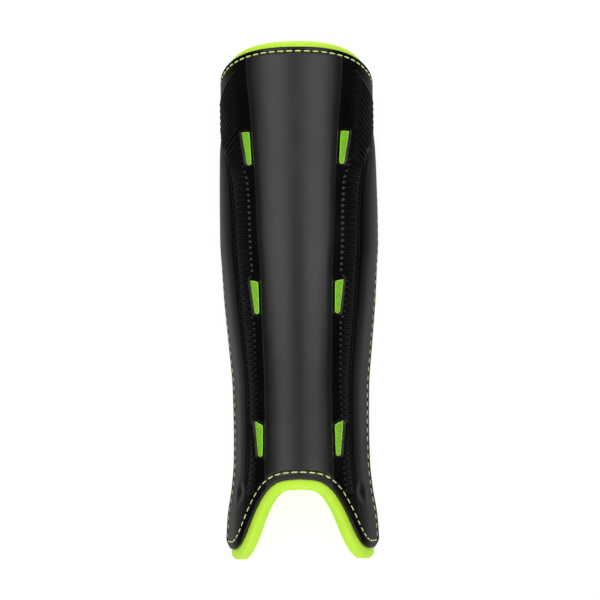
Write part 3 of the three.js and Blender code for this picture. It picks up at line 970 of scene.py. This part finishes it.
# Rings of a pad from its border inwards: how far each is drawn in, and how far below the border.
Ring = namedtuple("Ring", "inset below")
PAD_RINGS = [
    Ring(0.10 * MM, 0.22 * MM),
    Ring(0.12 * MM, 0.05 * MM),
    Ring(0.18 * MM, 0.0 * MM),
    Ring(0.10 * MM, 0.08 * MM),
    Ring(0.12 * MM, 0.3 * MM),
    Ring(0.10 * MM, 0.42 * MM),
]
PAD_EDGE_BELOW = 0.5 * MM
PAD_MIDDLE_BELOW = 0.2 * MM  # a ring that lies deeper than this is part of the sunken middle


def surface_height(x, y):
    """Height of the smooth form over a spot in the front view, on either side."""
    down = 0.5 - y / LENGTH
    low, high = 0.0, 1.0
    for _ in range(HALVINGS):
        middle = (low + high) / 2
        low, high = (middle, high) if skin(middle, down).x < abs(x) else (low, middle)
    return skin(low, down).z


def lay(corners, below):
    for corner in corners:
        corner.co.z = surface_height(corner.co.x, corner.co.y) - PAD_RECESS - below


def vent_pad(vent, side):
    """Closed pad of foam that fills a slot from the front of the lining up."""
    outline = vent_outline(vent, VENT_FIT)
    if side > 0:
        outline.reverse()
    pad = bmesh.new()
    made = bmesh.ops.create_circle(pad, cap_ends=True, segments=len(outline), radius=1)
    for corner, spot in zip(made["verts"], outline):
        corner.co = (spot.x * side, spot.y, 0)
    lay(pad.verts, PAD_EDGE_BELOW)
    top = pad.faces[:]
    root = bmesh.ops.extrude_face_region(pad, geom=[top[0]], use_keep_orig=True)
    sunk = [item for item in root["geom"] if isinstance(item, bmesh.types.BMVert)]
    for corner in sunk:
        corner.co.z = surface_height(corner.co.x, corner.co.y) - SHELL_WALL
    for ring in PAD_RINGS:
        bmesh.ops.inset_region(pad, faces=top, thickness=ring.inset, use_even_offset=True)
        # The deeper rings take the darker mesh finish, which also paints the shade of the sunken middle.
        if ring.below > PAD_MIDDLE_BELOW:
            top[0].material_index = 1
        lay({corner for face in top for corner in face.verts}, ring.below)
    bmesh.ops.triangulate(pad, faces=top)
    bmesh.ops.recalc_face_normals(pad, faces=pad.faces)
    return pad


pads = []
for place, vent in zip(("upper", "middle", "lower"), VENTS):
    for hand, side in (("left", -1), ("right", 1)):
        pads.append(finished(vent_pad(vent, side), f"{place}_{hand}_vent_pad"))
print("pads:", len(pads), "of", len(pads[0].data.polygons), "faces")

# %% [markdown]
# ## Stitching
#
# A lockstitch in thick lime thread runs all round the guard and holds the foam to the shell. What
# shows on the front are separate dashes, each coming up out of one needle hole and going down the
# next. A texture of dashes would look painted on from the side. So the path of the seam is worked
# out first, a fixed distance inside each edge and eased round the corners. Each dash on it is a
# stretched ball bent so that its ends dive into the shell, and a few dozen faces are enough.

# %% Path of the seam
END_STEP, FLANK_STEP = 0.008, 0.004  # shares across and down between two places of the path
SEAM_SMOOTHING = 14


def flank_line(down):
    """Share across of the seam along the flank."""
    return 1 - share_round(FLANK_SEAM, 1, down)


def seam_half():
    """Places of the seam from the middle of the knee end round to the middle of the arch."""
    places = []
    across = 0.0
    while True:
        place = beside_edge(knee_edge, KNEE_OUT, across, -KNEE_SEAM)
        if place[0] >= flank_line(place[1]):
            break
        places.append(place)
        across += END_STEP
    arch, across = [], 0.0
    while across < 1:
        place = beside_edge(ankle_edge, ANKLE_OUT, across, -ARCH_SEAM)
        if place[0] >= flank_line(place[1]):
            break
        arch.append(place)
        across += END_STEP
    down = places[-1][1]
    while down < arch[-1][1]:
        places.append((flank_line(down), down))
        down += FLANK_STEP
    return places + arch[::-1]


def rounded(places):
    """The same way with its corners eased, the ends held."""
    for _ in range(SEAM_SMOOTHING):
        eased = [
            tuple((a + 2 * b + c) / 4 for a, b, c in zip(before, at, after))
            for before, at, after in zip(places, places[1:], places[2:])
        ]
        places = [places[0]] + eased + [places[-1]]
    return places


def on_shell(across, down):
    """(point, direction out) on the dressed face of the right half."""
    out = outwards(across, down)
    height = relief(across, down, 0.0, Reaches(NEAR_VENT, KNEE_SEAM, LENGTH, LENGTH))
    return skin(across, down) + out * height, out


seam = [on_shell(*place) for place in rounded(seam_half())]
seam += [(mirrored(point, -1), mirrored(out, -1)) for point, out in seam[-2:0:-1]]
print("seam:", len(seam), "places")

# %% Dashes of thread along it
STITCH_PITCH = 5.1 * MM
THREAD_WIDTH, THREAD_HEIGHT = 0.72 * MM, 0.5 * MM
THREAD_LIFT = 0.3 * THREAD_HEIGHT  # of the middle of the thread above the shell
THREAD_SEGMENTS = 8
DASH_SHARE, DASH_DIVE = 0.84, 0.5 * MM  # of the pitch, and into the needle holes
DASH_FULLNESS, DIVE_BEND = 0.75, 4  # powers: blunter ends than a ball's, and how late it dives
TAIL_LENGTH, TAIL_TURN = 2.4 * MM, math.radians(58)
TAIL_PLACES = [Vector((15 * MM, -101 * MM)), Vector((-32.5 * MM, -124.5 * MM))]


def walked(path, count):
    """Even spots along a closed path: (point, direction along, direction out)."""
    loop = path + path[:1]
    lengths = [0.0]
    for (a, _), (b, _) in zip(loop, loop[1:]):
        lengths.append(lengths[-1] + (b - a).length)
    spots = []
    for n in range(count):
        at = lengths[-1] * (n + 0.5) / count
        i = bisect_right(lengths, at) - 1
        share = (at - lengths[i]) / (lengths[i + 1] - lengths[i])
        (a, out_a), (b, out_b) = loop[i], loop[i + 1]
        spots.append((a.lerp(b, share), (b - a).normalized(), out_a.lerp(out_b, share).normalized()))
    return spots


def dash(point, along, out, length):
    """One dash of thread with its ends in their needle holes."""
    thread = bmesh.new()
    uv = thread.loops.layers.uv.new("thread")
    bmesh.ops.create_uvsphere(
        thread, u_segments=THREAD_SEGMENTS, v_segments=THREAD_SEGMENTS, radius=1
    )
    across = along.cross(out)
    for face in thread.faces:
        turns = [math.atan2(loop.vert.co.y, loop.vert.co.x) / math.tau % 1 for loop in face.loops]
        wraps = max(turns) - min(turns) > 0.5
        for loop, turn in zip(face.loops, turns):
            loop[uv].uv = (loop.vert.co.z * length / 2, turn + (1 if wraps and turn < 0.5 else 0))
    for corner in thread.verts:
        share = abs(corner.co.z) ** DASH_FULLNESS * math.copysign(1, corner.co.z)
        lift = corner.co.y * THREAD_HEIGHT / 2 + THREAD_LIFT - DASH_DIVE * share**DIVE_BEND
        spot = point + along * share * length / 2 + out * lift
        corner.co = spot + across * corner.co.x * THREAD_WIDTH / 2
    bmesh.ops.recalc_face_normals(thread, faces=thread.faces)
    return thread


seam_length = sum((b - a).length for (a, _), (b, _) in zip(seam, seam[1:] + seam[:1]))
dash_count = round(seam_length / STITCH_PITCH)
spots = walked(seam, dash_count)
dashes = [dash(*spot, DASH_SHARE * seam_length / dash_count) for spot in spots]

# Two cut ends of the thread lie across the seam, as they do where a machine starts and stops.
for place in TAIL_PLACES:
    point, along, out = min(spots, key=lambda spot: (spot[0].xy - place).length)
    dashes.append(dash(point, Matrix.Rotation(TAIL_TURN, 3, out) @ along, out, TAIL_LENGTH))
stitching = finished(joined(*dashes), "perimeter_stitching")
print("stitches:", dash_count, "over", round(seam_length / MM), "mm")

# %% [markdown]
# ## Materials
#
# Every material is a Principled shader fed by a few procedural textures on the Object coordinates,
# which are metres here, so the scale of a pattern is one over its real size. Colours are written as
# sRGB hex values, the way a swatch is read, and turned to linear by one function.

# %% Colours and nodes


def colour(hex_value):
    """Linear RGBA from an sRGB hex string."""
    channels = [int(hex_value[i : i + 2], 16) / 255 for i in (1, 3, 5)]
    linear = [c / 12.92 if c <= 0.04045 else ((c + 0.055) / 1.055) ** 2.4 for c in channels]
    return (*linear, 1.0)


def add_node(tree, kind, settings=None, values=None, links=None):
    """Adds a node with its settings and socket values, and links outputs into its sockets."""
    node = tree.nodes.new(kind)
    for name, value in (settings or {}).items():
        setattr(node, name, value)
    for name, value in (values or {}).items():
        node.inputs[name].default_value = value
    for name, source in (links or {}).items():
        tree.links.new(source, node.inputs[name])
    return node


def new_material(name):
    """(material, its node tree, its object coordinates)"""
    material = bpy.data.materials.new(name)
    material.use_nodes = True
    tree = material.node_tree
    tree.nodes.clear()
    spots = add_node(tree, "ShaderNodeTexCoord").outputs["Object"]
    return material, tree, spots


def finish_material(tree, shader):
    add_node(tree, "ShaderNodeOutputMaterial", links={"Surface": shader.outputs["BSDF"]})


# %% [markdown]
# ### The shell's plastic
#
# The shell is injection-moulded polypropylene, black right through. The mould is etched over the
# centre panel, which leaves a fine grain and a satin sheen, and is polished elsewhere. Two unrelated
# materials could be made, but it is one plastic with two moulded finishes, so one function makes
# both. A slow noise stands for the faint milky rub of handling: it shifts the colour and the
# roughness together. A fine noise is the grain, in the bump alone.

# %% Moulded polypropylene, satin and glossy
RUB_SIZE = 35 * MM  # of one worn patch
RUB_LOW, RUB_HIGH = 0.3, 0.7  # range of the noise that matters
RUB_POLISH, RUB_HAZE = -0.05, 0.06  # change of roughness from one end of it to the other
GRAIN_DEPTH = 0.05 * MM
POLYPROPYLENE_IOR = 1.49


def moulded_polypropylene(name, face, worn, roughness, shine, grain_mm, grain_strength):
    """Black polypropylene from a mould: its grain, and a faint milky rub here and there."""
    material, tree, spots = new_material(name)
    grain = add_node(
        tree,
        "ShaderNodeTexNoise",
        values={"Scale": 1 / (grain_mm * MM), "Detail": 3.0},
        links={"Vector": spots},
    )
    rub = add_node(
        tree,
        "ShaderNodeTexNoise",
        values={"Scale": 1 / RUB_SIZE, "Detail": 5.0, "Roughness": 0.6},
        links={"Vector": spots},
    )
    tone = add_node(
        tree,
        "ShaderNodeMix",
        {"data_type": "RGBA"},
        {"A": colour(face), "B": colour(worn)},
        {"Factor": rub.outputs["Fac"]},
    )
    dull = add_node(
        tree,
        "ShaderNodeMapRange",
        values={
            "From Min": RUB_LOW,
            "From Max": RUB_HIGH,
            "To Min": roughness + RUB_POLISH,
            "To Max": roughness + RUB_HAZE,
        },
        links={"Value": rub.outputs["Fac"]},
    )
    bump = add_node(
        tree,
        "ShaderNodeBump",
        values={"Strength": grain_strength, "Distance": GRAIN_DEPTH},
        links={"Height": grain.outputs["Fac"]},
    )
    shader = add_node(
        tree,
        "ShaderNodeBsdfPrincipled",
        values={"IOR": POLYPROPYLENE_IOR, "Specular IOR Level": shine},
        links={
            "Base Color": tone.outputs["Result"],
            "Roughness": dull.outputs["Result"],
            "Normal": bump.outputs["Normal"],
        },
    )
    finish_material(tree, shader)
    return material


# Satin: the lights spread into two broad soft bands along the panel. The real grain is about 0.1 mm
# and wouldn't show, so it is drawn as coarse as 0.35 mm.
satin = moulded_polypropylene("satin_moulded_polypropylene", "#131213", "#181618", 0.36, 0.5, 0.35, 0.5)

# Gloss: near black where it mirrors the dark room, with crisp lines of light on ribs and crease. Its
# ripple of 0.9 mm is the slight unevenness of a polished mould.
gloss = moulded_polypropylene("gloss_moulded_polypropylene", "#060606", "#0a0a0a", 0.26, 0.38, 0.9, 0.12)
print("finishes of the shell:", satin.name, gloss.name)

# %% [markdown]
# ### The lining's foam
#
# The lining is lime EVA, a closed-cell foam: matt, with the cells just under its skin as a fine
# pebble. In the vents it is pressed, so its border is skinned over; there it is painted paler and
# made to glow as a painted highlight. Its middle has a coarse mesh of darker holes, darkened further
# by painted shade of the sunken middle. Cells could be modelled, but there are thousands to a square
# centimetre, so a Voronoi pattern gives them to the colour and the bump. A little emission of its own
# colour is painted light: it makes the foam glow brighter and more evenly than the lamps light it.

# %% Closed-cell foam, and the same foam pressed into a mesh
FOAM_CLOUD = 14 * MM  # of one slightly denser patch
CELL_SHARE = 0.6  # of the cells in the mottle, the rest being the clouds
CELL_DEPTH = 0.1 * MM
FOAM_IOR, FOAM_ROUGHNESS = 1.45, 0.82


def closed_cell_foam(name, face, deep, cell_mm, pebble, glow):
    """Lime EVA foam: a matt skin with the cells just under it showing as a fine pebble, and a painted
    glow of its own colour.
    """
    material, tree, spots = new_material(name)
    cells = add_node(
        tree, "ShaderNodeTexVoronoi", values={"Scale": 1 / (cell_mm * MM)}, links={"Vector": spots}
    )
    cloud = add_node(
        tree,
        "ShaderNodeTexNoise",
        values={"Scale": 1 / FOAM_CLOUD, "Detail": 4.0},
        links={"Vector": spots},
    )
    mottle = add_node(
        tree,
        "ShaderNodeMix",
        values={"Factor": CELL_SHARE},
        links={"A": cloud.outputs["Fac"], "B": cells.outputs["Distance"]},
    )
    tone = add_node(
        tree,
        "ShaderNodeMix",
        {"data_type": "RGBA"},
        {"A": colour(deep), "B": colour(face)},
        {"Factor": mottle.outputs["Result"]},
    )
    bump = add_node(
        tree,
        "ShaderNodeBump",
        values={"Strength": pebble, "Distance": CELL_DEPTH},
        links={"Height": cells.outputs["Distance"]},
    )
    shader = add_node(
        tree,
        "ShaderNodeBsdfPrincipled",
        values={
            "IOR": FOAM_IOR,
            "Roughness": FOAM_ROUGHNESS,
            # Emission is painted light: the foam glows in its own colour, though it is no lamp.
            "Emission Color": colour(face),
            "Emission Strength": glow,
        },
        links={"Base Color": tone.outputs["Result"], "Normal": bump.outputs["Normal"]},
    )
    finish_material(tree, shader)
    return material


# The lip is an even, almost shadeless lime, lifted by a small painted glow. Real cells of 0.2 mm are
# drawn as coarse as 0.6 mm.
foam = closed_cell_foam("closed_cell_eva_foam", "#c8f446", "#bcec3c", 0.6, 0.35, 0.1)

# The pressed border of a pad is a thin bright line of painted highlight: its pale colour and strong glow
# stand for a closed skin that catches every light.
pad_rim = closed_cell_foam("pressed_eva_foam_painted_highlight", "#e8ffa4", "#d4fc7c", 0.5, 0.4, 0.5)

# The middle of a pad is a deeper green speckle, from holes that lie 1.2 mm apart; the same darker green
# is also painted shade of the sunken middle, and its small glow is painted light.
pad_middle = closed_cell_foam("pressed_eva_mesh_and_painted_shade", "#90d420", "#449406", 1.2, 0.9, 0.12)
print("finishes of the lining:", foam.name, pad_rim.name, pad_middle.name)

# %% [markdown]
# ### The thread
#
# The thread is twisted polyester, three plies to a strand. Modelled plies would cost hundreds of
# faces a stitch, so a diagonal wave draws them. It needs coordinates that run along each stitch and
# round it, which Object coordinates don't, so it reads the UV map that every dash was given.

# %% Twisted polyester thread
# Painted highlights on the crests and painted shade in the hollows between the plies make each dash look
# round and a little silky.
TWIST_PITCH = 0.8 * MM  # from ply to ply
WAVE_TURN = math.tau / 10  # of the coordinate, for one turn of a diagonal wave
THREAD_HIGHLIGHT, THREAD_SHADE = colour("#ecffac"), colour("#a8cc54")

thread_finish, tree, _ = new_material("twisted_polyester_thread")
along_thread = add_node(tree, "ShaderNodeUVMap", {"uv_map": "thread"}).outputs["UV"]
turned = add_node(
    tree,
    "ShaderNodeMapping",
    values={"Scale": (WAVE_TURN / TWIST_PITCH, WAVE_TURN, 1)},
    links={"Vector": along_thread},
).outputs["Vector"]
plies = add_node(
    tree,
    "ShaderNodeTexWave",
    {"wave_type": "BANDS", "bands_direction": "DIAGONAL"},
    {"Scale": 1.0, "Distortion": 0.4},
    {"Vector": turned},
).outputs["Fac"]
ply_light_and_shade = add_node(
    tree,
    "ShaderNodeMix",
    {"data_type": "RGBA"},
    {"A": THREAD_SHADE, "B": THREAD_HIGHLIGHT},
    {"Factor": plies},
)
ply_bump = add_node(
    tree, "ShaderNodeBump", values={"Strength": 0.6, "Distance": 0.1 * MM}, links={"Height": plies}
)
finish_material(
    tree,
    add_node(
        tree,
        "ShaderNodeBsdfPrincipled",
        values={
            "IOR": 1.53,
            "Roughness": 0.5,
            "Sheen Weight": 0.3,
            # The thread glows a little in its highlight colour: painted light.
            "Emission Color": THREAD_HIGHLIGHT,
            "Emission Strength": 0.18,
        },
        links={"Base Color": ply_light_and_shade.outputs["Result"], "Normal": ply_bump.outputs["Normal"]},
    ),
)
print("finish of the stitches:", thread_finish.name)

# %% [markdown]
# ## Dressed pieces
#
# Each piece gets its materials in the order of its slots, smooth shading, and sharp edges where two
# faces meet at more than a set angle. Then the solids of the imported model that the pieces stand in
# for are hidden, and each piece is hung on the body that carries it.

# %% Hand each piece its material
SHARP = math.radians(48)  # more than a rib's flank, less than the rim of a slot


def dress(piece, *materials):
    for material in materials:
        piece.data.materials.append(material)
    piece.data.shade_smooth()
    piece.data.set_sharp_from_angle(angle=SHARP)


dress(shell, gloss, satin)
dress(lining, foam)
for pad in pads:
    dress(pad, pad_rim, pad_middle)
dress(stitching, thread_finish)
for piece in (shell, lining, pads[0], stitching):
    print(piece.name, "has", *(material.name for material in piece.data.materials))

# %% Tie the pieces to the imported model
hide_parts(SHELL)
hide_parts(LINING)
for pad in pads:
    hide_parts(LINING)
for piece in [shell, lining, stitching] + pads:
    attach(piece, "root")
print("pieces:", len(pads) + 3)

# %% [markdown]
# ## Camera
#
# The guard lies on its flank edges and the camera looks straight down on it, turned by a degree or
# two. Such a picture is taken from far off with a long lens, which keeps both sides of the guard
# alike, so the lens is worked out from the width of the picture at the guard.

# %% Camera
CAMERA_DISTANCE = 2.0
CAMERA_AIM = Vector((0, 0, 30 * MM))
CAMERA_YAW, CAMERA_ROLL = math.radians(2.0), math.radians(0.7)
PICTURE_PIXELS = 600
PIXEL = 0.5792 * MM  # at the aim
PICTURE_WIDTH = PICTURE_PIXELS * PIXEL
SENSOR = 36.0
AIM_OFF = (1.9 * PIXEL, 2.5 * PIXEL)

level = Vector((math.cos(CAMERA_YAW), 0, -math.sin(CAMERA_YAW)))
back_way = Vector((math.sin(CAMERA_YAW), 0, math.cos(CAMERA_YAW)))
upright = Vector((0, 1, 0))
right_way = level * math.cos(CAMERA_ROLL) - upright * math.sin(CAMERA_ROLL)
up_way = level * math.sin(CAMERA_ROLL) + upright * math.cos(CAMERA_ROLL)

camera_data = bpy.data.cameras.new("camera")
camera_data.sensor_width = SENSOR
camera_data.lens = SENSOR * CAMERA_DISTANCE / PICTURE_WIDTH
camera = bpy.data.objects.new("camera", camera_data)
bpy.context.collection.objects.link(camera)
stand = CAMERA_AIM + back_way * CAMERA_DISTANCE + right_way * AIM_OFF[0] + up_way * AIM_OFF[1]
turn = Matrix((right_way, up_way, back_way)).transposed().to_4x4()
camera.matrix_world = Matrix.Translation(stand) @ turn
bpy.context.scene.camera = camera
print("lens, mm:", round(camera_data.lens, 1))

# %% [markdown]
# ## Floor
#
# The floor is as pale as the picture's ground. A white floor that only reflects would carry the
# guard's shadow and tint, so this one is greyer and glows. It is hidden from reflections, because the
# shell has to mirror the dark room instead.

# %% Floor
FLOOR_SIZE = 6.0
FLOOR_GLOW = 0.8  # enough to bring the grey up to white
floor_sheet = bmesh.new()
bmesh.ops.create_grid(floor_sheet, x_segments=1, y_segments=1, size=FLOOR_SIZE / 2)
floor = finished(floor_sheet, "floor")
floor_paint, tree, _ = new_material("matt_white_floor")
finish_material(
    tree,
    add_node(
        tree,
        "ShaderNodeBsdfPrincipled",
        values={
            "Base Color": colour("#969696"),
            "Roughness": 0.9,
            "Emission Color": colour("#ffffff"),
            "Emission Strength": FLOOR_GLOW,
        },
    ),
)
floor.data.materials.append(floor_paint)
floor.visible_glossy = False
print("floor, m:", FLOOR_SIZE)

# %% [markdown]
# ## Lights
#
# A glossy dark form shows its lights more than its colour. A softbox over each side of the guard is
# long in its direction, so it draws one broad band down each half of the centre panel, and the
# channels between the lights stay dark. A card past each end brightens the foam lip and the flanges
# that lean that way.

# %% Softboxes and end cards


LIGHT_AIM = Vector((0, 0, 20 * MM))


def softbox(name, place, size, power):
    """Rectangular area light turned towards the guard: size is its width across, length along."""
    away = (Vector(place) - LIGHT_AIM).normalized()
    wide = Vector((0, 1, 0)).cross(away).normalized()
    data = bpy.data.lights.new(name, "AREA")
    data.shape, data.size, data.size_y, data.energy = "RECTANGLE", *size, power
    light = bpy.data.objects.new(name, data)
    light.location = place
    light.rotation_euler = Matrix((wide, away.cross(wide), away)).transposed().to_euler()
    bpy.context.collection.objects.link(light)
    return light


SIDE_PLACE, SIDE_HEIGHT, SIDE_TOWARDS_KNEE, SIDE_SIZE = 0.98, 1.8, 0.3, (1.35, 2.1)
SIDE_WATTS, KNEE_WATTS, ANKLE_WATTS = 20, 20, 25
END_PLACE, END_HEIGHT, END_SIZE = 1.9, 1.0, (3.6, 1.6)
softbox("left_softbox", (-SIDE_PLACE, SIDE_TOWARDS_KNEE, SIDE_HEIGHT), SIDE_SIZE, SIDE_WATTS)
softbox("right_softbox", (SIDE_PLACE, SIDE_TOWARDS_KNEE, SIDE_HEIGHT), SIDE_SIZE, SIDE_WATTS)
softbox("knee_end_card", (0, END_PLACE, END_HEIGHT), END_SIZE, KNEE_WATTS)
softbox("ankle_end_card", (0, -END_PLACE, END_HEIGHT), END_SIZE, ANKLE_WATTS)
print("lights, W:", SIDE_WATTS, SIDE_WATTS, KNEE_WATTS, ANKLE_WATTS)

# %% [markdown]
# ## Studio
#
# What the shell mirrors between the lights is the room. An even grey would lift every black, and a
# picture of a studio isn't needed: the room is dark at the height of the guard, faintly lit above,
# and has a pale ground that brightens the outer edges of the flanks, as a white table does.

# %% Studio
SKY, HORIZON, GROUND = 0.06, 0.012, 0.27
SKY_FROM, SKY_TO = 0.3, 0.8  # heights of the direction that is looked in, from -1 to 1
GROUND_TO, GROUND_FROM = -0.95, -0.2
END_LIFT = 0.35  # how much higher the pale ground reaches past the two ends than beside the guard
world = bpy.data.worlds.new("studio")
world.use_nodes = True
studio = world.node_tree
way = add_node(studio, "ShaderNodeTexCoord").outputs["Generated"]
parts = add_node(studio, "ShaderNodeSeparateXYZ", links={"Vector": way})
height = parts.outputs["Z"]
endways = add_node(studio, "ShaderNodeMath", {"operation": "ABSOLUTE"}, links={0: parts.outputs["Y"]})
lowered = add_node(
    studio,
    "ShaderNodeMath",
    {"operation": "MULTIPLY_ADD"},
    {1: -END_LIFT},
    {0: endways.outputs["Value"], 2: height},
)
below = add_node(
    studio,
    "ShaderNodeMapRange",
    {"interpolation_type": "SMOOTHSTEP"},
    {"From Min": GROUND_TO, "From Max": GROUND_FROM, "To Min": GROUND, "To Max": HORIZON},
    {"Value": lowered.outputs["Value"]},
).outputs["Result"]
above = add_node(
    studio,
    "ShaderNodeMapRange",
    {"interpolation_type": "SMOOTHSTEP"},
    {"From Min": SKY_FROM, "From Max": SKY_TO, "To Min": 0.0, "To Max": SKY - HORIZON},
    {"Value": height},
).outputs["Result"]
glow = add_node(studio, "ShaderNodeMath", {"operation": "ADD"}, links={0: below, 1: above})
studio.links.new(glow.outputs["Value"], studio.nodes["Background"].inputs["Strength"])
studio.nodes["Background"].inputs["Color"].default_value = colour("#ffffff")
bpy.context.scene.world = world
bpy.context.scene.view_settings.view_transform = "Standard"
print("studio, sky to ground:", SKY, HORIZON, GROUND)
